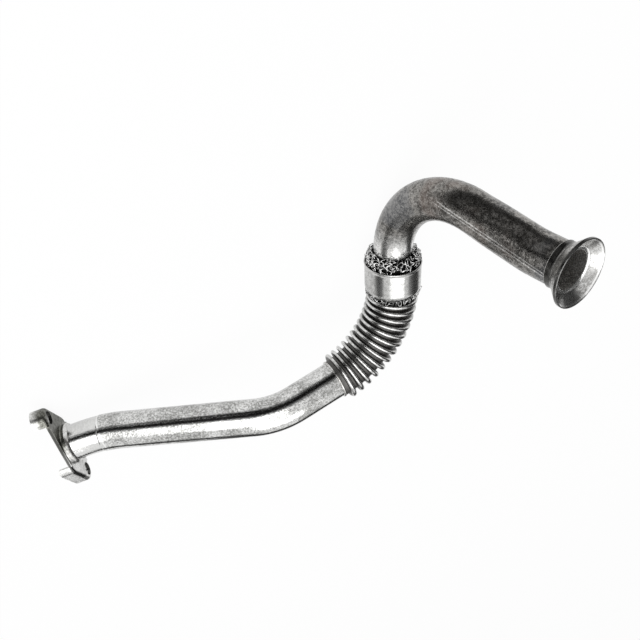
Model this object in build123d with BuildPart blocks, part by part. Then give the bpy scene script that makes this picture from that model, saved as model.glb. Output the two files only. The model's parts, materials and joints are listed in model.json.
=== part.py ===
from build123d import *
import os
from math import asin, atan2, cos, degrees, hypot, sin

os.makedirs("parts", exist_ok=True)

# A formed steel pipe with a bent bellows, lying on the floor.
# All sizes are in millimetres and all angles in degrees.

# Route of the pipe
# The centre line starts in the flange's mating face and ends in the plane of the mouth's rim.
pipe_corners = [
    (-180.4, -66.5, 22.4),
    (-150.3, -64.7, 24.4),
    (-23.4, -64.7, 67.0),
    (77.9, -70.0, 43.5),
    (113.2, 70.8, -5.1),
    (157.8, 76.8, 104.5),
    (171.1, 83.4, 134.8),
]
flange_bend_radius = 120.0
low_bend_radius = 60.0
bellows_bend_radius = 69.0
hook_bend_radius = 60.0
mouth_bend_radius = 66.0

# Tubes
tube_od = 28.0
tube_wall = 1.5
sized_end_od = 27.3
sized_end_length = 29.5
sized_step_length = 0.8
mouth_end_od = 28.7
mouth_end_length = 64.0
mouth_taper_length = 14.0

# Flange, a pressed sheet whose lips fold away from the tube
flange_sheet = 2.5
bolt_spacing = 62.0
bolt_hole_diameter = 10.0
bolt_line_roll = -17.2
lug_radius = 8.3
shoulder_along = 8.9
shoulder_across = 9.6
shoulder_radius = 10.0
lip_depth = 9.0
lip_inner_fold = 0.5
lip_return = 3.0
lip_tail = 0.6
lip_corner_radius = 2.0
neck_height = 3.0
neck_wall = 1.8
neck_root_radius = 1.0
neck_slip = 0.05
neck_bead_leg = 2.2

# Bellows
crest_count = 13
first_crest_gap = 6.6
last_crest_gap = 8.8
crest_diameter = 38.0
crest_top_width = 1.6
end_crest_half_foot = 2.4
bellows_wall = 0.5
cuff_slip = 0.2
lower_cuff_setback = 1.3
upper_cuff_reach = 1.4
tube_stop_gap = 0.4
cuff_bead_on_tube = 1.2
cuff_bead_on_cuff = 0.6
cuff_bead_height = 1.2
bead_slip = 0.05

# Collar and the knitted wire in it
collar_od = 40.8
collar_wall = 1.1
collar_length = 25.6
collar_cuff_overlap = 5.4
collar_curl_length = 5.3
collar_curl_drop = 2.4
collar_curl_radius = 5.0
collar_flare = 0.5
collar_flare_length = 2.0
mesh_above_collar = 5.2
mesh_below_collar = 1.8
mesh_gap = 0.9
mesh_gap_depth = 2.0
mesh_slip = 0.2
mesh_shoulder_radius = 3.0
mesh_foot_overhang = 0.7

# Mouth ring
rim_diameter = 44.0
rim_thickness = 1.9
rim_land = 0.5
rim_round = 0.4
socket_wall = 0.7
socket_length = 4.0
socket_slip = 0.05
ring_length = 13.9
cone_depth = 4.9
cone_throat_diameter = 30.6
throat_length = 0.5
throat_step = 0.4
flare_radius = 4.0
braze_leg = 0.8


# Stations along the centre line

bend_radii = [
    flange_bend_radius,
    low_bend_radius,
    bellows_bend_radius,
    hook_bend_radius,
    mouth_bend_radius,
]
centreline = FilletPolyline(*pipe_corners, radius=bend_radii)
pipe_length = centreline.length
stretch_lengths = [stretch.length for stretch in centreline.edges()]

# Straight runs and bends take turns along the route, so the third bend is its sixth stretch.
bellows_bend_start = sum(stretch_lengths[:5])
bellows_bend_end = sum(stretch_lengths[:6])

# The crests share out the bend between them, and the cuffs are set from its ends.
first_crest = bellows_bend_start + first_crest_gap
last_crest = bellows_bend_end - last_crest_gap
crest_pitch = (last_crest - first_crest) / (crest_count - 1)
crest_stations = [first_crest + crest_pitch * number for number in range(crest_count)]
lower_cuff_start = bellows_bend_start + lower_cuff_setback
upper_cuff_end = bellows_bend_end + upper_cuff_reach
lower_tube_end = first_crest - end_crest_half_foot - tube_stop_gap
upper_tube_start = last_crest + end_crest_half_foot + tube_stop_gap

collar_start = upper_cuff_end - collar_cuff_overlap
collar_end = collar_start + collar_length
mesh_start = collar_start - mesh_below_collar
mesh_end = collar_end + mesh_above_collar

throat_start = pipe_length - cone_depth - throat_length
upper_tube_end = throat_start - throat_step
mouth_end_start = pipe_length - mouth_end_length

tube_radius = tube_od / 2
sized_radius = sized_end_od / 2
mouth_end_radius = mouth_end_od / 2
cuff_inner_radius = tube_radius + cuff_slip
cuff_outer_radius = cuff_inner_radius + bellows_wall


# Planes and solids that follow the tube


def lengthwise_plane(station):
    """Plane through the centre line: x runs along the tube and y points straight away from it."""
    point = centreline.position_at(station, position_mode=PositionMode.LENGTH)
    forward = centreline.tangent_at(station, position_mode=PositionMode.LENGTH)
    sideways = forward.cross(Vector(0, 0, 1))
    return Plane(origin=point, x_dir=forward, z_dir=sideways)


def cross_plane(station):
    """Plane square to the tube, with its z along the tube."""
    plane = lengthwise_plane(station)
    return Plane(origin=plane.origin, x_dir=plane.y_dir, z_dir=plane.x_dir)


def tube_axis(station):
    """Axis of the tube at a station."""
    plane = lengthwise_plane(station)
    return Axis(plane.origin, plane.x_dir)


def round_bar(radius, start, end, mode=Mode.ADD):
    """Round bar along the centre line between two stations."""
    with BuildSketch(cross_plane(start)) as section:
        Circle(radius)
    path = centreline.trim(start / pipe_length, end / pipe_length)
    sweep(sections=section.sketch, path=path, mode=mode)


def tapered_bar(start_radius, end_radius, start, end, mode=Mode.ADD):
    """Round bar that widens between two stations."""
    with BuildSketch(cross_plane(start)) as small:
        Circle(start_radius)
    with BuildSketch(cross_plane(end)) as large:
        Circle(end_radius)
    loft(sections=[small.sketch, large.sketch], ruled=True, mode=mode)


# Lower tube, from the flange to the bellows

sized_step_end = sized_end_length + sized_step_length

with BuildPart() as lower_tube:
    for depth, mode in ((0, Mode.ADD), (tube_wall, Mode.SUBTRACT)):
        round_bar(sized_radius - depth, 0, sized_end_length, mode)
        tapered_bar(sized_radius - depth, tube_radius - depth, sized_end_length, sized_step_end, mode)
        round_bar(tube_radius - depth, sized_step_end, lower_tube_end, mode)

lower_tube.part.label = "lower_tube"
export_step(lower_tube.part, "parts/lower_tube.step")


# Flange plate, drawn in the mating face with the bolts along x and the tube along z

level_line = Vector(0, 0, 1).cross(centreline % 0)
bolt_line = level_line.rotate(tube_axis(0), bolt_line_roll)
flange_plane = Plane(origin=centreline @ 0, x_dir=bolt_line, z_dir=centreline % 0)
lug_offset = bolt_spacing / 2
lip_outer_fold = lip_inner_fold + flange_sheet
neck_bore = sized_radius + neck_slip
neck_radius = neck_bore + neck_wall
neck_top = flange_sheet + neck_height

# Each straight edge without a lip touches a lug and the shoulder on its far side.
edge_rise = atan2(shoulder_across, lug_offset + shoulder_along)
edge_rise += asin((shoulder_radius - lug_radius) / hypot(lug_offset + shoulder_along, shoulder_across))
edge_distance = lug_offset * sin(edge_rise) + lug_radius
edge_start = lip_tail - shoulder_along * cos(edge_rise) - shoulder_across * sin(edge_rise)
edge_end = lug_offset * cos(edge_rise) - lip_return
edge_length = edge_end - edge_start
edge_middle = (edge_start + edge_end) / 2
edge_band = 2 * lip_outer_fold


def flange_outline(inset):
    """Belt round the two lugs and the two shoulders."""
    with BuildSketch() as outline:
        with Locations((lug_offset, 0), (-lug_offset, 0)):
            Circle(lug_radius - inset)
        with Locations((shoulder_along, -shoulder_across), (-shoulder_along, shoulder_across)):
            Circle(shoulder_radius - inset)
        make_hull()
    return outline.sketch


with BuildPart() as flange_plate:
    with BuildSketch(flange_plane.offset(-lip_depth)):
        add(flange_outline(0))
    extrude(amount=lip_depth + flange_sheet)
    top_face = flange_plate.faces().sort_by(Axis(flange_plane.origin, flange_plane.z_dir))[-1]
    fillet(top_face.edges(), lip_outer_fold)
    with BuildSketch(flange_plane.offset(-lip_depth)):
        add(flange_outline(flange_sheet))
    extrude(amount=lip_depth, mode=Mode.SUBTRACT)
    inner_face = flange_plate.faces(Select.LAST).sort_by(Axis(flange_plane.origin, flange_plane.z_dir))[-1]
    fillet(inner_face.edges(), lip_inner_fold)

    for half_turn in (0, 180):
        edge_line = bolt_line.rotate(tube_axis(0), half_turn - degrees(edge_rise))
        edge_plane = Plane(origin=flange_plane.origin, x_dir=edge_line, z_dir=flange_plane.z_dir)
        with BuildSketch(edge_plane.offset(-lip_depth)):
            with Locations((edge_middle, edge_distance)):
                Rectangle(edge_length, 2 * edge_band)
        extrude(amount=lip_depth + flange_sheet, mode=Mode.SUBTRACT)
        with BuildSketch(edge_plane):
            with Locations((edge_middle, edge_distance - edge_band / 2)):
                Rectangle(edge_length, edge_band)
        extrude(amount=flange_sheet)

    lip_corners = flange_plate.edges().filter_by(Axis(flange_plane.origin, edge_plane.y_dir))
    lip_corners = lip_corners.group_by(Axis(flange_plane.origin, flange_plane.z_dir))[0]
    fillet(lip_corners, lip_corner_radius)

    with BuildSketch(flange_plane.offset(flange_sheet)):
        Circle(neck_radius)
    extrude(amount=neck_height)
    neck_root = flange_plate.edges().filter_by(GeomType.CIRCLE)
    neck_root = neck_root.filter_by(lambda edge: abs(edge.radius - neck_radius) < 0.001)
    neck_root = neck_root.sort_by(Axis(flange_plane.origin, flange_plane.z_dir))[0]
    fillet(neck_root, neck_root_radius)

    with BuildSketch(flange_plane):
        Circle(neck_bore)
        with Locations((lug_offset, 0), (-lug_offset, 0)):
            Circle(bolt_hole_diameter / 2)
    extrude(amount=neck_top, mode=Mode.SUBTRACT)

flange_plate.part.label = "flange_plate"
export_step(flange_plate.part, "parts/flange_plate.step")


# Weld bead on top of the neck

with BuildPart() as flange_weld:
    with BuildSketch(lengthwise_plane(0)):
        with BuildLine():
            bead_top = (neck_top + neck_bead_leg, sized_radius)
            bead_side = (neck_top, sized_radius + neck_bead_leg)
            bead_root = (neck_top, sized_radius)
            Line(bead_top, bead_root)
            Line(bead_root, bead_side)
            RadiusArc(bead_side, bead_top, 2 * neck_bead_leg)
        make_face()
    revolve(axis=tube_axis(0))

flange_weld.part.label = "flange_weld"
export_step(flange_weld.part, "parts/flange_weld.step")


# Bellows, a thin sheet that runs from ring to ring, each square to the bent centre line

crest_radius = crest_diameter / 2
outer_rings = [
    Vector(lower_cuff_start, cuff_outer_radius),
    Vector(first_crest - end_crest_half_foot, cuff_outer_radius),
]
for station in crest_stations:
    outer_rings.append(Vector(station - crest_top_width / 2, crest_radius))
    outer_rings.append(Vector(station + crest_top_width / 2, crest_radius))
    outer_rings.append(Vector(station + crest_pitch / 2, cuff_outer_radius))
outer_rings[-1] = Vector(last_crest + end_crest_half_foot, cuff_outer_radius)
outer_rings.append(Vector(bellows_bend_end, cuff_outer_radius))
outer_rings.append(Vector(upper_cuff_end, cuff_outer_radius))


def under_sheet(before, ring, after):
    """Where a fold of the sheet lies on its inner face: x is the station and y the radius."""
    normals = [Vector(side.Y, -side.X).normalized() for side in (ring - before, after - ring)]
    return ring + (normals[0] + normals[1]) * (bellows_wall / (1 + normals[0].dot(normals[1])))


inner_rings = [under_sheet(*rings) for rings in zip(outer_rings, outer_rings[1:], outer_rings[2:])]
inner_rings.insert(0, Vector(lower_cuff_start, cuff_inner_radius))
inner_rings.append(Vector(upper_cuff_end, cuff_inner_radius))


with BuildPart() as bellows:
    for rings, mode in ((outer_rings, Mode.ADD), (inner_rings, Mode.SUBTRACT)):
        sections = []
        for ring in rings:
            with BuildSketch(cross_plane(ring.X)) as section:
                Circle(ring.Y)
            sections.append(section.sketch)
        loft(sections=sections, ruled=True, mode=mode)

bellows.part.label = "bellows"
export_step(bellows.part, "parts/bellows.step")


# Upper tube, from the bellows round the hook to the mouth

mouth_taper_start = mouth_end_start - mouth_taper_length

with BuildPart() as upper_tube:
    for depth, mode in ((0, Mode.ADD), (tube_wall, Mode.SUBTRACT)):
        round_bar(tube_radius - depth, upper_tube_start, mouth_taper_start, mode)
        tapered_bar(
            tube_radius - depth, mouth_end_radius - depth, mouth_taper_start, mouth_end_start, mode
        )
        round_bar(mouth_end_radius - depth, mouth_end_start, upper_tube_end, mode)

upper_tube.part.label = "upper_tube"
export_step(upper_tube.part, "parts/upper_tube.step")


# Weld beads at the ends of the bellows, each over the edge of its cuff


def cuff_bead(station, tube_side):
    """Bead over a cuff's edge, with tube_side -1 or 1 for the side that the bare tube is on."""
    tube_end = tube_side * cuff_bead_on_tube
    cuff_end = -tube_side * cuff_bead_on_cuff
    edge = tube_side * bead_slip
    tube_height = tube_radius + bead_slip
    cuff_height = cuff_outer_radius + bead_slip
    top = ((tube_end + cuff_end) / 2, tube_radius + cuff_bead_height)
    with BuildSketch(lengthwise_plane(station)) as section:
        with BuildLine():
            Polyline(
                (tube_end, tube_height), (edge, tube_height), (edge, cuff_height), (cuff_end, cuff_height)
            )
            ThreePointArc((cuff_end, cuff_height), top, (tube_end, tube_height))
        make_face()
    revolve(profiles=section.sketch, axis=tube_axis(station))


with BuildPart() as bellows_lower_weld:
    cuff_bead(lower_cuff_start, -1)

bellows_lower_weld.part.label = "bellows_lower_weld"
export_step(bellows_lower_weld.part, "parts/bellows_lower_weld.step")

with BuildPart() as bellows_upper_weld:
    cuff_bead(upper_cuff_end, 1)

bellows_upper_weld.part.label = "bellows_upper_weld"
export_step(bellows_upper_weld.part, "parts/bellows_upper_weld.step")


# Collar, a sheet sleeve on the straight run, drawn from the end of the bellows' bend

collar_foot = collar_start - bellows_bend_end
collar_top = collar_end - bellows_bend_end
sheet_radius = (collar_od - collar_wall) / 2
foot_radius = sheet_radius - collar_curl_drop
half_sheet = collar_wall / 2

with BuildPart() as collar:
    with BuildSketch(lengthwise_plane(bellows_bend_end)):
        with BuildLine() as sheet_line:
            FilletPolyline(
                (collar_foot + half_sheet, foot_radius),
                (collar_foot + collar_curl_length, sheet_radius),
                (collar_top - collar_flare_length, sheet_radius),
                (collar_top - half_sheet, sheet_radius + collar_flare),
                radius=collar_curl_radius,
            )
            offset(amount=half_sheet, side=Side.BOTH)
        make_face()
    revolve(axis=tube_axis(bellows_bend_end))

collar.part.label = "collar"
export_step(collar.part, "parts/collar.step")


# Knitted wire pad between the tube and the collar

mesh_foot = mesh_start - bellows_bend_end
mesh_top = mesh_end - bellows_bend_end
mesh_radius = sheet_radius - half_sheet - mesh_slip
mesh_throat = foot_radius - half_sheet - mesh_slip
mesh_foot_radius = mesh_throat + mesh_foot_overhang
mesh_top_radius = mesh_radius - mesh_gap
bead_end = upper_cuff_end + cuff_bead_on_tube + mesh_slip - bellows_bend_end
bead_radius = tube_radius + cuff_bead_height

with BuildPart() as mesh_pad:
    with BuildSketch(lengthwise_plane(bellows_bend_end)) as pad_section:
        with BuildLine():
            Polyline(
                (mesh_top, tube_radius + mesh_slip),
                (bead_end, tube_radius + mesh_slip),
                (bead_end, bead_radius + mesh_slip),
                (mesh_foot - mesh_foot_radius, bead_radius + mesh_slip),
                (mesh_foot - mesh_foot_radius, mesh_foot_radius),
                (collar_foot - mesh_slip, mesh_foot_radius),
                (collar_foot - mesh_slip, mesh_throat),
                (collar_foot + collar_curl_length, mesh_throat),
                (collar_foot + collar_curl_length + collar_curl_radius, mesh_radius),
                (collar_top - mesh_gap_depth, mesh_radius),
                (collar_top - mesh_gap_depth, mesh_top_radius),
                (mesh_top, mesh_top_radius),
                close=True,
            )
        make_face()
        top_corner = pad_section.vertices().group_by(Axis.X)[-1].sort_by(Axis.Y)[-1]
        fillet(top_corner, mesh_shoulder_radius)
    revolve(axis=tube_axis(bellows_bend_end))
    split(bisect_by=cross_plane(mesh_start), keep=Keep.TOP)

mesh_pad.part.label = "mesh_pad"
export_step(mesh_pad.part, "parts/mesh_pad.step")


# Mouth ring, drawn from the plane of its rim back along the tube

rim_radius = rim_diameter / 2
socket_bore = mouth_end_radius + socket_slip
socket_radius = socket_bore + socket_wall
throat_radius = cone_throat_diameter / 2
socket_end = socket_length - ring_length

with BuildPart() as mouth_ring:
    with BuildSketch(lengthwise_plane(pipe_length)) as ring_section:
        with BuildLine():
            Polyline(
                (-ring_length, socket_radius),
                (socket_end, socket_radius),
                (-rim_thickness, rim_radius),
                (0, rim_radius),
                (0, rim_radius - rim_land),
                (-cone_depth, throat_radius),
                (-cone_depth - throat_length, socket_bore),
                (-ring_length, socket_bore),
                close=True,
            )
        make_face()
        socket_corner = ring_section.vertices().sort_by_distance((socket_end, socket_radius))[0]
        fillet(socket_corner, flare_radius)
        rim_corners = ring_section.vertices().group_by(Axis.Y)[-1]
        fillet(rim_corners, rim_round)
    revolve(axis=tube_axis(pipe_length))

mouth_ring.part.label = "mouth_ring"
export_step(mouth_ring.part, "parts/mouth_ring.step")


# Braze bead where the ring's socket ends on the tube

with BuildPart() as mouth_braze:
    with BuildSketch(lengthwise_plane(pipe_length)):
        with BuildLine():
            braze_root = (-ring_length, mouth_end_radius)
            braze_foot = (-ring_length - braze_leg, mouth_end_radius)
            braze_top = (-ring_length, mouth_end_radius + socket_slip + braze_leg)
            Line(braze_foot, braze_root)
            Line(braze_root, braze_top)
            RadiusArc(braze_top, braze_foot, -2 * braze_leg)
        make_face()
    revolve(axis=tube_axis(pipe_length))

mouth_braze.part.label = "mouth_braze"
export_step(mouth_braze.part, "parts/mouth_braze.step")
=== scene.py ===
# %% [markdown]
# # A formed steel pipe with a bellows
#
# This notebook dresses a finished CAD model of a coolant pipe. The pipe lies on a white floor and
# is lit as in a product photograph. The CAD model gives every size, so nothing is moved: the
# tubes, the flange, the collar and the mouth keep their CAD shapes and only get their finish. The
# bellows and the knitted wire are modelled here, because their rounded folds and tangled loops
# are finer than the CAD solids.

# %% Load the CAD model
import json
import random
from collections import Counter
from math import cos, degrees, pi, radians, sin, tan

import bpy
from mathutils import Matrix, Vector


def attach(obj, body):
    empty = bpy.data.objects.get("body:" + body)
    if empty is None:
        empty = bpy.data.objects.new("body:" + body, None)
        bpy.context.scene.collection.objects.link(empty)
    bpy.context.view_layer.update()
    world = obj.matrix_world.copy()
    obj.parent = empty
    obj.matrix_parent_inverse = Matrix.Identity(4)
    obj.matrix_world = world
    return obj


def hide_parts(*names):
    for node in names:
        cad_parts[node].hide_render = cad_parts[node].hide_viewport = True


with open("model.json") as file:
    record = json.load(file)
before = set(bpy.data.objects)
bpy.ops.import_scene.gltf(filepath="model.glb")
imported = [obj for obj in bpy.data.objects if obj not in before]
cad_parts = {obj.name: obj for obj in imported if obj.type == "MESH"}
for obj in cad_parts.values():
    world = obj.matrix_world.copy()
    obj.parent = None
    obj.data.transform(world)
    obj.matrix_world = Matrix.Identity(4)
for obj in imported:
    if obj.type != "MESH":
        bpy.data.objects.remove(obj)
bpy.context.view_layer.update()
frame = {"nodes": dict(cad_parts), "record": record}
print("nodes:", ", ".join(sorted(frame["nodes"])))

# %% [markdown]
# ## Places on the pipe
#
# The flange's face, its bolt holes and the mouth are mounts in the CAD model's record, so their
# places and directions are read from there. The bellows and the collar sit on two stretches of
# one line: a bend, and the straight run after it. That line could be measured from the CAD
# meshes, but it is simpler and more exact to repeat the corner that the bend rounds off, its
# neighbours and its radius, in metres. The last two corners are the hook's.

# %% Mounts from the record
mounts = {mount["name"]: mount for mount in frame["record"]["mounts"]}
flange_place = Vector(mounts["flange_face"]["pos_m"])
flange_way = -Vector(mounts["flange_face"]["axis"])
mouth_place = Vector(mounts["mouth_cone"]["pos_m"])
mouth_way = Vector(mounts["mouth_cone"]["axis"])
bolt_spacing = mounts["flange_bolts"]["dims"]["pcd_mm"] / 1000
bolt_hole_radius = mounts["flange_bolts"]["dims"]["hole_r_mm"] / 1000
bore_radius = mounts["mouth_bore"]["dims"]["r_mm"] / 1000
print("flange to mouth:", round((mouth_place - flange_place).length * 1000), "mm")

# %% The bellows' bend and the hook's corners
before_bend = Vector((-0.0234, -0.0647, 0.0670))
bend_corner = Vector((0.0779, -0.0700, 0.0435))
hook_foot = Vector((0.1132, 0.0708, -0.0051))
hook_top = Vector((0.1578, 0.0768, 0.1045))
bend_radius = 0.069

way_in = (bend_corner - before_bend).normalized()
way_out = (hook_foot - bend_corner).normalized()
bend_angle = way_in.angle(way_out)
bend_length = bend_radius * bend_angle
tangent_length = bend_radius * tan(bend_angle / 2)
bend_start = bend_corner - way_in * tangent_length
bend_end = bend_corner + way_out * tangent_length
bend_normal = way_in.cross(way_out).normalized()
bend_centre = bend_start + bend_normal.cross(way_in) * bend_radius
print("bend of", round(degrees(bend_angle), 1), "degrees,", round(bend_length * 1000, 1), "mm long")

# %% [markdown]
# ## Camera
#
# The photograph looks down on the pipe from beyond its mouth side, with the camera rolled far
# over. The view was worked out from the outline of the pipe in the picture, and is written here
# as the camera's place and its axes, because a roll like this one is awkward as angles.

# %% Camera
camera_place = Vector((-0.0004, 0.50784, 0.37427))
camera_right = Vector((0.92883, -0.16041, 0.33399))
camera_up = Vector((0.36703, 0.52170, -0.77015))
camera_back = camera_right.cross(camera_up).normalized()
camera_up = camera_back.cross(camera_right)  # square to the other two

camera_data = bpy.data.cameras.new("camera")
camera_data.lens = 49.23
camera_data.sensor_width = 36
camera = bpy.data.objects.new("camera", camera_data)
bpy.context.collection.objects.link(camera)
camera_turn = Matrix((camera_right, camera_up, camera_back)).transposed().to_4x4()
camera.matrix_world = Matrix.Translation(camera_place) @ camera_turn
bpy.context.scene.camera = camera
print("camera", round(camera_place.length * 1000), "mm from the middle of the floor print")

# %% [markdown]
# ## Writing node trees as sums
#
# A finish is a tree of shader nodes. Placing nodes one by one is slow to write and hard to read,
# so a small class wraps one socket, and `+`, `-` and `*` on it add Math nodes. Everything else
# goes through one method, `node`, which takes the node's type, its settings and what its sockets
# get.

# %% A class for sockets


class Wire:
    """One output socket. Arithmetic on it adds Math nodes to its tree."""

    def __init__(self, tree, socket):
        self.tree = tree
        self.socket = socket

    def node(self, kind, settings=None, sockets=None, output=0):
        made = self.tree.nodes.new(kind)
        for name, value in (settings or {}).items():
            setattr(made, name, value)
        for name, value in (sockets or {}).items():
            if isinstance(value, Wire):
                self.tree.links.new(value.socket, made.inputs[name])
            else:
                made.inputs[name].default_value = value
        return Wire(self.tree, made.outputs[output])

    def math(self, operation, first, second):
        return self.node("ShaderNodeMath", {"operation": operation}, {0: first, 1: second})

    def __add__(self, other):
        return self.math("ADD", self, other)

    def __radd__(self, other):
        return self.math("ADD", other, self)

    def __sub__(self, other):
        return self.math("SUBTRACT", self, other)

    def __rsub__(self, other):
        return self.math("SUBTRACT", other, self)

    def __mul__(self, other):
        return self.math("MULTIPLY", self, other)

    def __rmul__(self, other):
        return self.math("MULTIPLY", other, self)

    def root(self):
        """Square root."""
        return self.math("POWER", self, 0.5)

    def size(self):
        """The value without its sign."""
        return self.math("ABSOLUTE", self, 0.0)

    def vector(self, operation, other=(0, 0, 0), output=0):
        """Vector Math. Its output 1 is a number, such as a length or a dot product."""
        settings = {"operation": operation}
        return self.node("ShaderNodeVectorMath", settings, {0: self, 1: other}, output)

    def step(self, low, high):
        """0 under low, 1 over high, and smooth between."""
        settings = {"interpolation_type": "SMOOTHSTEP"}
        sockets = {0: self, 1: low, 2: high, 3: 0.0, 4: 1.0}
        return self.node("ShaderNodeMapRange", settings, sockets)

    def near(self, middle, half):
        """1 within half a width of a middle value, 0 away from it, with a soft edge."""
        return 1 - (self - middle).size().step(half * 0.6, half * 1.4)

    def between(self, start, end):
        """Colour from start to end as this value goes from 0 to 1."""
        start, end = (c if isinstance(c, Wire) else (*c, 1) for c in (start, end))
        settings = {"data_type": "RGBA"}
        return self.node("ShaderNodeMix", settings, {0: self, 6: start, 7: end}, output=2)


print("sockets can be added, subtracted and multiplied")

# %% [markdown]
# ## Measuring on a piece
#
# The marks on this pipe follow its shape: an end that was sized, a seam, a rim. They could be
# painted, but that needs pictures. Here a finish measures instead, on the piece's own
# coordinates: how far a point is along a line, and how far off it. Two such distances are enough
# to find any ring, stripe or bore on a straight run.

# %% A class for finishes


class Finish:
    """A metal finish: a Principled shader, with patterns on the piece's own coordinates."""

    def __init__(self, name):
        self.material = bpy.data.materials.new(name)
        self.material.use_nodes = True
        tree = self.material.node_tree
        self.shader = tree.nodes["Principled BSDF"]
        self.shader.inputs["Metallic"].default_value = 1.0
        coordinates = tree.nodes.new("ShaderNodeTexCoord")
        self.point = Wire(tree, coordinates.outputs["Object"])

    def noise(self, scale, detail=4.0, rough=0.55, stretch=None):
        """Noise with its scale per metre. Stretch is the pattern's size along each axis."""
        point = self.point
        if stretch:
            settings = {"vector_type": "TEXTURE"}
            point = point.node("ShaderNodeMapping", settings, {0: point, 3: stretch})
        sockets = {"Vector": point, "Scale": scale, "Detail": detail, "Roughness": rough}
        return point.node("ShaderNodeTexNoise", {}, sockets)

    def along(self, place, direction):
        """Distance from a place, along a direction."""
        return self.point.vector("SUBTRACT", place).vector("DOT_PRODUCT", direction, 1)

    def off(self, place, direction):
        """Distance from the straight line through a place, along a direction."""
        crossed = self.point.vector("SUBTRACT", place).vector("CROSS_PRODUCT", direction)
        return crossed.vector("LENGTH", output=1)

    def skin(self, dark, pale):
        """Colour that follows the finish's level, from dark patches to pale ones."""
        return self.level.between(dark, pale)

    def give(self, socket, wire):
        self.shader.id_data.links.new(wire.socket, self.shader.inputs[socket])

    def bump(self, height, distance):
        sockets = {"Height": height, "Distance": distance}
        self.give("Normal", height.node("ShaderNodeBump", {}, sockets))


print("finishes can measure along a line and off it")

# %% [markdown]
# ## Formed steel
#
# Every part is stainless steel, but no two have the same skin. The tubes are drawn and pickled,
# with a mottled, slightly pitted face; the pressed flange is duller; the turned mouth is cleaner;
# and heat has browned the upper tube. An even metal would look like foil, so one function makes
# a common skin from three sizes of noise: blotches of a centimetre or two, mottling of a few
# millimetres and a fine grain. They add up to one level, from 0 in dark patches to 1 in pale
# ones. Roughness follows it too, so that the patches also shine differently, and a small bump
# breaks up the reflections.

# %% The common skin
blotch_scale = 60
print("blotches of about", round(1000 / blotch_scale), "mm")


def steel(name, rough=(0.14, 0.30), mottle=420, grain=1300, depth=0.00002):
    """Finish with the common skin. Rough is its roughness in pale and in dark patches."""
    finish = Finish(name)
    blotches = finish.noise(blotch_scale, 3).step(0.35, 0.65)
    mottling = finish.noise(mottle, 5, 0.65).step(0.38, 0.62)
    grains = finish.noise(grain, 3, 0.65)
    mixed = blotches * 0.25 + mottling * 0.35 + grains.step(0.35, 0.65) * 0.40
    finish.level = mixed.step(0.12, 0.88)
    finish.roughness = rough[1] - finish.level * (rough[1] - rough[0])
    finish.give("Roughness", finish.roughness)
    finish.bump(mottling * 0.35 + grains * 0.65, depth)
    print(name, "has", len(finish.material.node_tree.nodes), "nodes")
    return finish


# %% [markdown]
# ## Lower tube
#
# The flange end of this drawn tube is sized in a die, to fit the flange's neck. The die leaves it
# smooth and even, up to a step. Just past the step a pale ring is painted, a painted highlight on
# the step's rounded edge. Beyond it the skin is mottled, with short dark streaks along the tube
# from drawing. The step is a real edge in the CAD model, so the finish only has to change at the
# same distance from the flange, and only near the flange's axis.

# %% Finish of the lower tube
tube_finish = steel("lower_tube_steel", (0.07, 0.18), mottle=650, grain=1700, depth=0.00004)
sized_length = 0.0302
sized_edge = 0.0004
from_flange = tube_finish.along(flange_place, flange_way)
on_flange_run = 1 - tube_finish.off(flange_place, flange_way).step(0.020, 0.024)
past_sized = from_flange.step(sized_length - sized_edge, sized_length + sized_edge)
sized = (1 - past_sized) * on_flange_run
# pale ring just past the step: a painted highlight on the step's rounded edge
step_highlight = from_flange.near(sized_length + 0.0010, 0.0007)
streaks = tube_finish.noise(1100, 4, 0.7, (3.0, 1.0, 1.0)).step(0.58, 0.70) * (1 - sized)

even_level = 0.80
tube_finish.level = tube_finish.level + (even_level - tube_finish.level) * sized * 0.8
skin = tube_finish.skin((0.25, 0.25, 0.24), (0.82, 0.82, 0.81))
skin = (streaks * 0.85).between(skin, (0.08, 0.08, 0.076))
skin = (step_highlight * 0.8).between(skin, (0.9, 0.9, 0.89))
tube_finish.give("Base Color", skin)
print("sized end, bright step and drawing streaks")

# %% [markdown]
# ## Upper tube
#
# The brazing torch has tinted this tube: brown and blue patches over a grey skin, with pale specks
# and scratches from handling. Near the collar the skin is much paler, partly cleaner steel and
# partly a painted highlight. Inside the bore near the mouth it is painted paler as well, as painted
# light in the bore, and it is a little rougher there. The tube was rolled from sheet and welded,
# and its dressed seam shows as a pale double line along the run to the mouth. A seam modelled as a
# ridge would be far under a millimetre high, so it is a mark in the colour, placed by its distance
# from a plane through the tube's centre line. A bright ring on the end of the tube, inside the
# mouth ring, is a painted highlight.

# %% Heat tint of the upper tube, its cleaner foot with a painted highlight, and painted light in its bore
upper_finish = steel("upper_tube_steel", depth=0.00005)
from_mouth = upper_finish.along(mouth_place, mouth_way)
off_mouth_run = upper_finish.off(mouth_place, mouth_way)
past_bore = off_mouth_run.step(bore_radius + 0.00005, bore_radius + 0.00055)
bore = (1 - past_bore) * from_mouth.step(-0.050, -0.030)
# near the collar the skin is partly cleaner steel and partly painted pale, a painted highlight
clean_and_highlight = 1 - upper_finish.along(bend_end, way_out).step(0.030, 0.058)
patches = upper_finish.noise(28, 2)
specks = upper_finish.noise(700, 4, 0.7).step(0.60, 0.74)
scratches = upper_finish.noise(800, 4, 0.7, (1.0, 1.0, 4.0)).step(0.58, 0.70)

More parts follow.
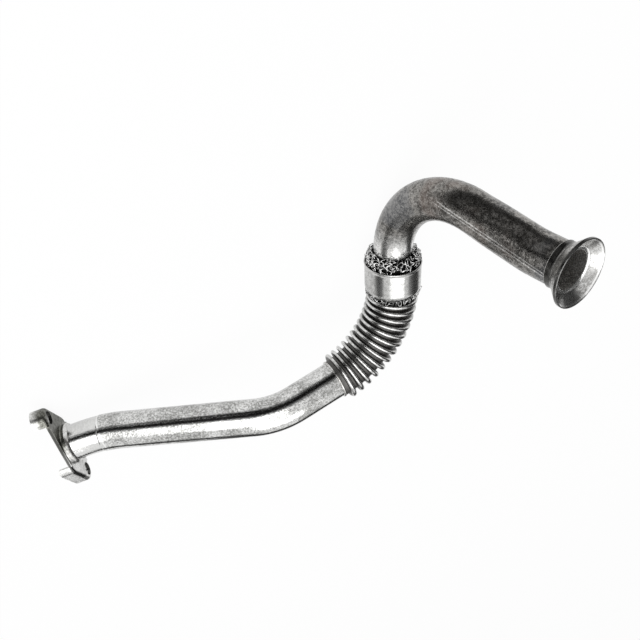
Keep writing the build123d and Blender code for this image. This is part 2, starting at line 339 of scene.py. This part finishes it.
skin = upper_finish.skin((0.055, 0.052, 0.048), (0.35, 0.337, 0.318))
skin = (patches.step(0.54, 0.66) * 0.35).between(skin, (0.24, 0.185, 0.16))
skin = ((1 - patches.step(0.34, 0.46)) * 0.30).between(skin, (0.17, 0.185, 0.21))
skin = (specks * 0.5).between(skin, (0.60, 0.59, 0.57))
skin = (scratches * 0.45).between(skin, (0.66, 0.65, 0.63))
skin = (clean_and_highlight * 0.95).between(skin, upper_finish.skin((0.55, 0.55, 0.54), (1.0, 1.0, 0.99)))
# inside the bore near the mouth the skin is painted paler, as painted light in the bore
skin = (bore * 0.95).between(skin, upper_finish.skin((0.30, 0.29, 0.275), (0.95, 0.94, 0.92)))
upper_finish.give("Roughness", upper_finish.roughness + bore * 0.14)
print("heat tint, specks, scratches, clean foot and bore")

# %% Seam of the upper tube, and a painted highlight on its end
run_way = (hook_top - hook_foot).normalized()
seam_side = Vector((-0.862552, 0.383537, 0.330005))  # square to the run
seam_half_gap = 0.0010
seam_line_half = 0.0004
off_seam = upper_finish.along(hook_foot, seam_side.cross(run_way))
seam = off_seam.near(seam_half_gap, seam_line_half)
seam = seam + off_seam.near(-seam_half_gap, seam_line_half)
seam = seam * upper_finish.along(hook_foot, seam_side).step(0.004, 0.008)
seam = seam * upper_finish.along(hook_foot, run_way).step(0.045, 0.060)
seam = seam * (upper_finish.level * 0.5 + 0.25)
skin = seam.between(skin, (0.92, 0.91, 0.89))
# a bright ring on the end of the tube, inside the mouth ring: a painted highlight
tube_end_highlight = from_mouth.step(-0.0064, -0.0058) * (1 - off_mouth_run.step(0.020, 0.030))
skin = tube_end_highlight.between(skin, (0.95, 0.95, 0.94))
upper_finish.give("Base Color", skin)
print("seam on the side", [round(v, 2) for v in seam_side])

# %% [markdown]
# ## Flange
#
# The flange is pressed from sheet. One lug is painted darker than the other, as painted shade,
# which fades out towards the end of its folded lip, and the cut edges between the lugs are dark
# too. The walls and rims of the bolt holes are painted nearly black, as painted shade in the holes.
# Splitting the plate into painted faces would give hard joints, so the finish measures along the
# line through both bolt holes, and by depth from the face.

# %% Finish of the flange
bolt_tilt = -17.2  # degrees that the bolt line is turned from level
plate_thickness = 0.0025
level_line = Vector((0, 0, 1)).cross(flange_way).normalized()
bolt_line = Matrix.Rotation(radians(bolt_tilt), 3, flange_way) @ level_line

flange_finish = steel("flange_steel", (0.24, 0.38))
along_bolts = flange_finish.along(flange_place, bolt_line)
depth = flange_finish.along(flange_place, flange_way)
# one lug painted dark as painted shade, fading out towards the end of its lip
dark_lug_shade = along_bolts.step(0.000, 0.012) * depth.step(-0.0085, -0.0015)
skin = flange_finish.skin((0.50, 0.50, 0.48), (0.86, 0.86, 0.85))
skin = dark_lug_shade.between(skin, flange_finish.skin((0.07, 0.07, 0.06), (0.27, 0.27, 0.245)))
for side in (bolt_spacing / 2, -bolt_spacing / 2):
    off_hole = flange_finish.off(flange_place + bolt_line * side, flange_way)
    # the walls and rims of the bolt holes are painted nearly black: painted shade in the holes
    inside = 1 - off_hole.step(bolt_hole_radius, bolt_hole_radius + 0.0004)
    skin = (inside * 0.9).between(skin, (0.02, 0.02, 0.019))
between_lugs = 1 - along_bolts.size().step(0.028, 0.031)
cut_edge = depth.near(plate_thickness / 2, 0.00105) * between_lugs
skin = (cut_edge * 0.92).between(skin, (0.05, 0.05, 0.048))
flange_finish.give("Base Color", skin)
print("dark lug, two bolt holes and cut edges")

# %% [markdown]
# ## Mouth ring
#
# The ring is turned on a lathe, so its marks are circles about its axis: a bright cone, a bright
# line where the cone meets the rim, which is a painted highlight, and the dark edge of the rim,
# which is painted shade. At the cone's root the seat of the tube is painted bright, a painted
# highlight, with a dark line of painted shade in the step beside it. The outside is darker. The
# cone opens at 55 degrees to the axis, which tells its inside from the outside.

# %% Finish of the mouth ring
cone_slope = 1.43
rim_radius = 0.0220
cone_depth = 0.0050
root_radius = 0.0150

ring_finish = steel("ring_steel", (0.18, 0.30))
from_rim = ring_finish.along(mouth_place, mouth_way)
off_axis = ring_finish.off(mouth_place, mouth_way)
outside = (off_axis - from_rim * cone_slope - rim_radius).step(0.0004, 0.0014)
# a bright line at the rim's inner edge, a painted highlight, and its dark outer edge, painted shade
rim_highlight = off_axis.near(0.0206, 0.0004) * from_rim.step(-0.0016, -0.0008)
rim_edge_shade = off_axis.step(0.0211, 0.0215)
# the seat of the tube painted bright, a painted highlight, and a dark line beside it, painted shade
# in the step
root = 1 - from_rim.step(-cone_depth - 0.0002, -cone_depth + 0.0002)
seat_highlight = root * (1 - off_axis.step(root_radius - 0.0001, root_radius + 0.0001))
root_shade = root * off_axis.near(root_radius + 0.0003, 0.0003)

skin = ring_finish.skin((0.30, 0.295, 0.285), (0.72, 0.72, 0.71))
skin = outside.between(skin, ring_finish.skin((0.11, 0.105, 0.098), (0.50, 0.49, 0.47)))
skin = (rim_highlight * 0.8).between(skin, (0.95, 0.95, 0.94))
skin = (rim_edge_shade * 0.8).between(skin, (0.07, 0.07, 0.068))
skin = seat_highlight.between(skin, (0.95, 0.95, 0.94))
skin = (root_shade * 0.9).between(skin, (0.04, 0.04, 0.038))
ring_finish.give("Base Color", skin)
print("cone, rim and root of the mouth")

# %% [markdown]
# ## Collar and welds
#
# The collar is smooth rolled sheet. Its curled lower rim lies in the shade of the wire, with a
# ragged edge, so noise is added to the distance before it becomes a mask. The welds are small
# bright beads that need no marks of their own, and share one finish.

# %% Finishes of the collar and the welds
collar_finish = steel("collar_steel", (0.20, 0.30), depth=0.00001)
ragged = (collar_finish.noise(500, 3) - 0.5) * 0.0024
rim_shade = 1 - (collar_finish.along(bend_end, way_out) + ragged).step(-0.0012, 0.0000)
skin = collar_finish.skin((0.38, 0.38, 0.37), (0.62, 0.62, 0.61))
skin = (rim_shade * 0.92).between(skin, (0.03, 0.03, 0.029))
collar_finish.give("Base Color", skin)

weld_finish = steel("weld_steel", (0.20, 0.34), mottle=700)
weld_finish.give("Base Color", weld_finish.skin((0.40, 0.39, 0.37), (0.80, 0.80, 0.79)))

# %% [markdown]
# ## Dressing the CAD nodes
#
# Nine CAD nodes keep their meshes, and each one's material slots get a finish. A material could
# also be appended, but the CAD faces already point at their first slot, so it is replaced.

# %% Give the CAD nodes their finishes
node_finishes = {
    "lower_tube": tube_finish,
    "upper_tube": upper_finish,
    "flange_plate": flange_finish,
    "collar": collar_finish,
    "mouth_ring": ring_finish,
    "flange_weld": weld_finish,
    "bellows_lower_weld": weld_finish,
    "bellows_upper_weld": weld_finish,
    "mouth_braze": weld_finish,
}
for node, finish in node_finishes.items():
    for slot in frame["nodes"][node].material_slots:
        slot.material = finish.material
print(len(node_finishes), "nodes dressed")

# %% [markdown]
# ## Bellows
#
# The bellows is one thin sleeve, rolled or hydroformed into thirteen folds and then bent. It could
# be thirteen rings set along the bend, but they would not join. Here it is made as in the shop: a
# straight sleeve first, formed fold by fold by extruding one ring of edges and widening or
# narrowing it, then given its sheet thickness, and last bent by a Curve modifier whose curve is
# the bend of the pipe's route.

# %% Sizes of the folds
fold_count = 13
fold_radius = 0.0190
cuff_radius = 0.0147
crest_round = 0.0016
foot_round = 0.0009
first_fold = 0.0066
last_fold = bend_length - 0.0088
sleeve_start = 0.0013
sleeve_end = bend_length + 0.0014
fold_pitch = (last_fold - first_fold) / (fold_count - 1)
print("folds every", round(fold_pitch * 1000, 2), "mm")


def fold_line(middle):
    """Places along the sleeve and radii of one fold, from foot to foot."""
    foot = []
    for step in range(4):
        turn = radians(30 * step)
        x = crest_round + foot_round * (1 - sin(turn))
        foot.append((-x, cuff_radius + foot_round * (1 - cos(turn))))
    crest = []
    for step in range(9):
        turn = radians(22.5 * step)
        crest.append((-crest_round * cos(turn), fold_radius - crest_round * (1 - sin(turn))))
    far_foot = [(-x, radius) for x, radius in reversed(foot)]
    return [(middle + x, radius) for x, radius in foot + crest + far_foot]


sleeve_line = [(sleeve_start, cuff_radius)]
for fold in range(fold_count):
    sleeve_line += fold_line(first_fold + fold_pitch * fold)
sleeve_line.append((sleeve_end, cuff_radius))
print(len(sleeve_line), "rings of edges")

# %% Form the straight sleeve
sleeve_sides = 88
bpy.ops.object.select_all(action="DESELECT")
bpy.ops.mesh.primitive_circle_add(
    vertices=sleeve_sides, radius=cuff_radius, fill_type="NOTHING",
    location=(sleeve_start, 0, 0), rotation=(0, pi / 2, 0),
)
bellows = bpy.context.object
bellows.name = "bellows_sleeve"
bpy.ops.object.transform_apply(location=True, rotation=True, scale=True)
bpy.ops.object.mode_set(mode="EDIT")
bpy.ops.mesh.select_all(action="SELECT")
for (here, radius), (there, next_radius) in zip(sleeve_line, sleeve_line[1:]):
    bpy.ops.mesh.extrude_edges_move(TRANSFORM_OT_translate={"value": (there - here, 0, 0)})
    if abs(next_radius - radius) > 1e-7:
        widen = next_radius / radius
        bpy.ops.transform.resize(value=(1, widen, widen), center_override=(there, 0, 0))
bpy.ops.mesh.select_all(action="SELECT")
bpy.ops.mesh.normals_make_consistent(inside=False)
bpy.ops.object.mode_set(mode="OBJECT")
widest = max(corner.co.y for corner in bellows.data.vertices)
print(len(bellows.data.polygons), "faces, widest radius", round(widest * 1000, 2), "mm")

# %% The bend as a curve
bpy.ops.object.select_all(action="DESELECT")
bpy.ops.curve.primitive_bezier_curve_add(location=(0, 0, 0))
bend_curve = bpy.context.object
bend_curve.name = "bellows_bend"
bend_curve.data.resolution_u = 256
bend_curve.data.twist_mode = "MINIMUM"
handle_length = bend_radius * 4 / 3 * tan(bend_angle / 4)
ends = bend_curve.data.splines[0].bezier_points
for end, place, way in ((ends[0], bend_start, way_in), (ends[1], bend_end, way_out)):
    end.handle_left_type = end.handle_right_type = "FREE"
    end.co = place
    end.handle_left = place - way * handle_length
    end.handle_right = place + way * handle_length
curve_length = bend_curve.data.splines[0].calc_length()
print("curve", round(curve_length * 1000, 2), "mm, bend", round(bend_length * 1000, 2), "mm")

# %% Give the sleeve its sheet and bend it
sheet_thickness = 0.0005
bpy.ops.object.select_all(action="DESELECT")
bellows.select_set(True)
bpy.context.view_layer.objects.active = bellows
sheet = bellows.modifiers.new("sheet", "SOLIDIFY")
sheet.thickness = sheet_thickness
sheet.offset = -1
along = bellows.modifiers.new("along", "CURVE")
along.object = bend_curve
along.deform_axis = "POS_X"
for modifier in ("sheet", "along"):
    bpy.ops.object.modifier_apply(modifier=modifier)
bpy.data.objects.remove(bend_curve)
bpy.ops.object.shade_smooth_by_angle(angle=radians(40))
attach(bellows, "root")
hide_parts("bellows")
corners = [
    [round(end(v.co[axis] for v in bellows.data.vertices) * 1000, 1) for axis in range(3)]
    for end in (min, max)
]

# %% [markdown]
# ## Finish of the bellows
#
# Forming polishes the crests, so they are smoother. Their colour is painted pale, a painted
# highlight, and the valleys are painted dark, as painted shade in the folds. The finish needs to
# know how far a point is from the bent centre line. For a bend that is simple: take the point's
# height off the bend's plane and its distance from the bend's centre, and measure to the circle. A
# little noise on that radius keeps the edge of the polish and of the painted highlight uneven.

# %% Finish of the bellows
bellows_finish = steel("bellows_steel")
height = bellows_finish.along(bend_centre, bend_normal)
reach = bellows_finish.point.vector("SUBTRACT", bend_centre).vector("LENGTH", output=1)
ring_offset = (reach * reach - height * height).root() - bend_radius
radius = (ring_offset * ring_offset + height * height).root()
uneven = (bellows_finish.noise(300, 3) - 0.5) * 0.0010
# crests smoother and painted pale, a painted highlight; valleys painted dark, painted shade in the
# folds
polish_and_highlight = (radius + uneven).step(0.0163, 0.0188)
crest_highlight_skin = bellows_finish.skin((0.40, 0.40, 0.39), (0.80, 0.80, 0.79))
bellows_finish.give("Base Color", polish_and_highlight.between((0.12, 0.117, 0.112), crest_highlight_skin))
bellows_finish.give("Roughness", 0.48 - polish_and_highlight * 0.28)
bellows.data.materials.append(bellows_finish.material)

# %% [markdown]
# ## Core of the knitted wire
#
# The collar holds a ring of knitted steel wire, which keeps the inner tube from rattling. Through
# its outer loops only dark gaps are seen, so it needs no wire inside: a closed ring, painted nearly
# black as painted shade, fills it. A torus would not follow the collar, so the ring's section is
# drawn as a line of corners, from its top over the collar's flare and down to the small roll under
# the collar, and spun.

# %% Place and section of the core
across = way_out.orthogonal().normalized()
run_turn = Matrix((way_out, across, way_out.cross(across))).transposed().to_4x4()
wire_place = Matrix.Translation(bend_end) @ run_turn

core_top = [
    (0.0292, 0.01425), (0.0291, 0.0160), (0.0284, 0.0174), (0.0264, 0.0184), (0.0226, 0.0184),
]
core_foot = [
    (0.0050, 0.0180), (-0.0030, 0.0166), (-0.0042, 0.0166), (-0.0043, 0.0176),
    (-0.0066, 0.0174), (-0.0068, 0.0166), (-0.0068, 0.0154),
]
core_inside = [(0.0032, 0.0154), (0.0032, 0.01425)]
core_line = core_top + core_foot + core_inside
core_height = core_line[0][0] - min(x for x, radius in core_line)
print("core from end to end:", round(core_height * 1000, 1), "mm")

# %% Spin the core


def turned(name, line, steps):
    """Ring spun from a closed line of places along the tube and radii."""
    bpy.ops.object.select_all(action="DESELECT")
    bpy.ops.mesh.primitive_plane_add(size=0.001)
    piece = bpy.context.object
    piece.name = name
    bpy.ops.object.mode_set(mode="EDIT")
    bpy.ops.mesh.select_all(action="SELECT")
    bpy.ops.mesh.merge(type="CENTER")
    bpy.ops.transform.translate(value=(line[0][0], line[0][1], 0))
    for (x, y), (next_x, next_y) in zip(line, line[1:]):
        move = {"value": (next_x - x, next_y - y, 0)}
        bpy.ops.mesh.extrude_vertices_move(TRANSFORM_OT_translate=move)
    bpy.ops.mesh.select_all(action="SELECT")
    bpy.ops.mesh.edge_face_add()
    bpy.ops.mesh.delete(type="ONLY_FACE")
    bpy.ops.mesh.select_all(action="SELECT")
    bpy.ops.mesh.spin(steps=steps, angle=2 * pi, center=(0, 0, 0), axis=(1, 0, 0))
    bpy.ops.mesh.select_all(action="SELECT")
    bpy.ops.mesh.remove_doubles(threshold=0.000005)
    bpy.ops.mesh.normals_make_consistent(inside=False)
    bpy.ops.object.mode_set(mode="OBJECT")
    return piece


wire_core = turned("wire_core", core_line, 64)
wire_core.data.transform(wire_place)
bpy.ops.object.shade_smooth_by_angle(angle=radians(40))
edge_uses = Counter(key for face in wire_core.data.polygons for key in face.edge_keys)
print("core:", len(wire_core.data.polygons), "faces, closed:", set(edge_uses.values()) == {2})

# %% [markdown]
# ## Loops of wire
#
# Real stitches would be lost in the tangle, so one loop of wire is modelled, a squashed ring, and
# copied over the core: four rows over its top, and one row of smaller loops where wire shows
# under the collar. The copies lie at chance angles from a fixed seed, so the tangle is the same
# each time. Each loop has few faces, because it repeats more than a hundred times.

# %% One loop of wire
wire_radius = 0.00036
bpy.ops.object.select_all(action="DESELECT")
bpy.ops.mesh.primitive_torus_add(
    major_radius=0.0023, minor_radius=wire_radius, major_segments=16, minor_segments=6,
    location=(0, 0, 0),
)
loop = bpy.context.object
bpy.ops.object.mode_set(mode="EDIT")
bpy.ops.mesh.select_all(action="SELECT")
bpy.ops.transform.resize(value=(1.35, 0.72, 1.0), center_override=(0, 0, 0))
bpy.ops.object.mode_set(mode="OBJECT")
bpy.ops.object.shade_smooth()
print("loop", [round(size * 1000, 1) for size in loop.dimensions], "mm")

# %% Lay the loops over the core
chance = random.Random(7)
floor_clearance = 0.0001
loops = []


def lay_loop(x, radius, angle, lift, lean, size=1.0):
    """Copy of the loop on the core, turned by chance and pressed up off the floor."""
    turn = Matrix.Rotation(angle, 4, "X") @ Matrix.Translation((x, radius, 0))
    turn = turn @ Matrix.Rotation(lift, 4, "Z") @ Matrix.Rotation(pi / 2, 4, "X")
    turn = turn @ Matrix.Rotation(lean, 4, "Z")
    turn = turn @ Matrix.Rotation(chance.uniform(-0.7, 0.7), 4, "X")
    turn = turn @ Matrix.Rotation(chance.uniform(-0.6, 0.6), 4, "Y")
    copy = bpy.data.objects.new("loop", loop.data.copy())
    copy.data.transform(wire_place @ turn @ Matrix.Scale(size, 4))
    lowest = min(corner.co.z for corner in copy.data.vertices)
    if lowest < floor_clearance:
        copy.data.transform(Matrix.Translation((0, 0, floor_clearance - lowest)))
    bpy.context.collection.objects.link(copy)
    loops.append(copy)


# each row's place along the tube and its radius
loop_spacing = 0.0046
rows = [(0.0234, 0.0187), (0.0256, 0.0186), (0.0277, 0.0179), (0.0290, 0.0165)]
for row, (x, radius) in enumerate(rows):
    count = round(2 * pi * radius / loop_spacing)
    for number in range(count):
        angle = 2 * pi * (number + chance.uniform(-0.4, 0.4)) / count
        loop_x = x + chance.uniform(-0.0005, 0.0005)
        loop_radius = radius + chance.uniform(-0.0004, 0.0004)
        lay_loop(loop_x, loop_radius, angle, 0.2 - 0.25 * row, chance.uniform(0, pi))

foot_x, foot_radius, foot_count, foot_size = -0.0030, 0.0190, 44, 0.8
for number in range(foot_count):
    angle = 2 * pi * (number + chance.uniform(-0.4, 0.4)) / foot_count
    loop_radius = foot_radius + chance.uniform(-0.0002, 0.0002)
    lay_loop(foot_x, loop_radius, angle, 0.4, chance.uniform(-0.9, 0.9), foot_size)
print(len(loops), "loops")

# %% Join the loops
bpy.data.objects.remove(loop)
bpy.ops.object.select_all(action="DESELECT")
for copy in loops:
    copy.select_set(True)
bpy.context.view_layer.objects.active = loops[0]
bpy.ops.object.join()
knitted_wire = bpy.context.object
knitted_wire.name = "knitted_wire"
print(len(knitted_wire.data.polygons), "faces of wire")

# %% [markdown]
# ## Finish of the wire
#
# The wire is thin and bright, and its loops shade each other. Each loop is too small for the lamps
# to model alone, so the steel itself is painted from nearly black to white along the wire, as
# painted shade and highlight. The core is painted almost black, as painted shade in the gaps, and
# is dull, so that the gaps read as deep.

# %% Finishes of the wire and its core
wire_finish = steel("knitted_wire", (0.10, 0.24), mottle=700)
# the wire painted from nearly black to white: painted shade and highlight among the loops
wire_finish.give("Base Color", wire_finish.skin((0.08, 0.08, 0.077), (1.0, 1.0, 0.99)))
# the core painted almost black: painted shade in the gaps of the wire
core_shade_finish = steel("wire_core", (0.55, 0.75), mottle=900)
core_shade_finish.give("Base Color", core_shade_finish.skin((0.004, 0.004, 0.004), (0.016, 0.016, 0.015)))
knitted_wire.data.materials.append(wire_finish.material)
wire_core.data.materials.append(core_shade_finish.material)
for piece in (knitted_wire, wire_core):
    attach(piece, "root")
    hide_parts("mesh_pad")

# %% [markdown]
# ## Floor and world
#
# The photograph is a product shot on pure white. Turning the lamps up until the floor clips would
# burn out the steel too, so the floor and the world are white by themselves, to the camera and in
# reflections, and the floor keeps a faint shadow. Light Path tells which ray is asking.

# %% Floor


def light_paths(tree):
    """Wires that are 1 for rays from the camera, off gloss and through glass."""
    paths = tree.nodes.new("ShaderNodeLightPath")
    names = ("Is Camera Ray", "Is Glossy Ray", "Is Transmission Ray")
    return [Wire(tree, paths.outputs[name]) for name in names]


bpy.ops.object.select_all(action="DESELECT")
bpy.ops.mesh.primitive_plane_add(size=12, location=(0, 0, -0.0003))
floor = bpy.context.object
floor.name = "floor"
floor_material = bpy.data.materials.new("floor_white")
floor_material.use_nodes = True
tree = floor_material.node_tree
seen, glossy, glass = light_paths(tree)
white = seen.node("ShaderNodeEmission", {}, {"Color": (1, 1, 1, 1), "Strength": 1.0})
paper = seen.node("ShaderNodeBsdfDiffuse", {}, {"Color": (0.8, 0.8, 0.8, 1)})
whiteness = seen * 0.95 + (glossy + glass) * 0.72
mixed = seen.node("ShaderNodeMixShader", {}, {0: whiteness, 1: paper, 2: white})
tree.links.new(mixed.socket, tree.nodes["Material Output"].inputs["Surface"])
floor.data.materials.append(floor_material)
print("floor", [round(length) for length in floor.dimensions[:2]], "m")

# %% World
soft_light = 0.65
world = bpy.data.worlds.new("world")
bpy.context.scene.world = world
world.use_nodes = True
tree = world.node_tree
seen, glossy, glass = light_paths(tree)
strength = (seen + glossy + glass).step(0.0, 1.0) * (1 - soft_light) + soft_light
background = tree.nodes["Background"]
background.inputs["Color"].default_value = (1, 1, 1, 1)
tree.links.new(strength.socket, background.inputs["Strength"])
print("world gives a soft light of", soft_light)

# %% [markdown]
# ## Lamps
#
# Two wide lamps hang over the pipe, as softboxes do in a product studio, one on the camera's
# side and one towards the back. A lamp's power alone does not tell how bright it looks in
# polished steel, so each is given its brightness as seen, and the power follows from its size.

# %% Two soft lamps overhead


def soft_lamp(name, place, size, tilt, radiance):
    """Rectangular lamp over the pipe, tilted about the x axis, with its brightness as seen."""
    data = bpy.data.lights.new(name, "AREA")
    data.shape = "RECTANGLE"
    data.size, data.size_y = size
    data.energy = radiance * size[0] * size[1] * pi
    lamp = bpy.data.objects.new(name, data)
    bpy.context.collection.objects.link(lamp)
    lamp.location = place
    lamp.rotation_euler = (radians(tilt), 0, 0)
    print(name, round(data.energy, 1), "W")


# name, place, size, tilt and brightness
soft_lamp("lamp_front", (-0.42, 0.70, 1.00), (1.15, 1.25), -28, 1.8)
soft_lamp("lamp_top", (-0.10, -0.22, 1.15), (0.95, 0.62), 0, 1.9)

# %% [markdown]
# ## Dark walls and cards
#
# Polished steel shows what stands round it, and on an all white set a tube would look flat. A
# photographer puts black and grey cards round the table, which give the tube its dark bands. The
# cards could be real ones, but they would shade the floor, so these are hidden from the camera,
# from soft light and from shadows. A wall is named for the side it stands on, seen from the
# camera's side, and a card on the floor for how far it is.

# %% A board that only reflections see


def only_in_reflections(board, shade):
    """Give a board an even glow, and hide it from the camera, soft light and shadows."""
    glow = bpy.data.materials.new(board.name)
    glow.use_nodes = True
    tree = glow.node_tree
    light = tree.nodes.new("ShaderNodeEmission")
    light.inputs["Strength"].default_value = shade
    tree.links.new(light.outputs[0], tree.nodes["Material Output"].inputs["Surface"])
    board.data.materials.append(glow)
    board.visible_camera = False
    board.visible_diffuse = False
    board.visible_shadow = False
    print(board.name, "glows at", shade)


# %% Walls
wall_distance = 1.5


def wall(name, middle, spread, foot, top, shade):
    """Curved wall from one elevation to another, spread round a bearing, in degrees."""
    low, high = (wall_distance * tan(radians(elevation)) for elevation in (foot, top))
    bpy.ops.object.select_all(action="DESELECT")
    bpy.ops.mesh.primitive_cylinder_add(
        vertices=144, radius=wall_distance, depth=high - low, end_fill_type="NOTHING",
        location=(0, 0, (low + high) / 2),
    )
    board = bpy.context.object
    board.name = name
    bpy.ops.object.transform_apply(location=True, rotation=True, scale=True)
    bearing = Vector((cos(radians(middle)), sin(radians(middle)), 0))
    bpy.ops.object.mode_set(mode="EDIT")
    bpy.ops.mesh.select_all(action="DESELECT")
    bpy.ops.object.mode_set(mode="OBJECT")
    for face in board.data.polygons:
        side = Vector((face.center.x, face.center.y, 0))
        face.select = side.angle(bearing) > radians(spread / 2)
    bpy.ops.object.mode_set(mode="EDIT")
    bpy.ops.mesh.delete(type="FACE")
    bpy.ops.object.mode_set(mode="OBJECT")
    only_in_reflections(board, shade)


# name, middle bearing, spread, foot, top and shade
wall("wall_front", 90, 130, 0, 20, 0.008)
wall("wall_front_grey", 90, 130, 20, 31, 0.28)
wall("wall_right", -10, 70, 0, 50, 0.06)
wall("wall_back", 287, 76, 0, 30, 0.05)
wall("wall_back_left", 239, 20, 12, 32, 0.05)
wall("wall_left", 175, 60, 0, 35, 0.06)

# %% Cards on the floor
card_height = 0.0005


def floor_card(name, corner, far_corner, shade):
    """Card on the floor between two corners."""
    (x, y), (far_x, far_y) = corner, far_corner
    bpy.ops.object.select_all(action="DESELECT")
    middle = ((x + far_x) / 2, (y + far_y) / 2, card_height)
    bpy.ops.mesh.primitive_plane_add(size=1, location=middle)
    card = bpy.context.object
    card.name = name
    bpy.ops.transform.resize(value=(far_x - x, far_y - y, 1))
    only_in_reflections(card, shade)


# name, two corners and shade
floor_card("card_near", (-0.05, 0.125), (0.70, 0.20), 0.085)
floor_card("card_middle", (-0.05, 0.20), (0.70, 0.33), 0.32)
floor_card("card_side", (-0.33, 0.125), (-0.05, 0.33), 0.008)
floor_card("card_far", (-0.33, 0.33), (0.70, 1.395), 0.012)

# %% [markdown]
# ## Colour management
#
# The Standard view transform shows a colour as it is written, which suits a white product shot.

# %% Colour management
bpy.context.scene.view_settings.view_transform = "Standard"
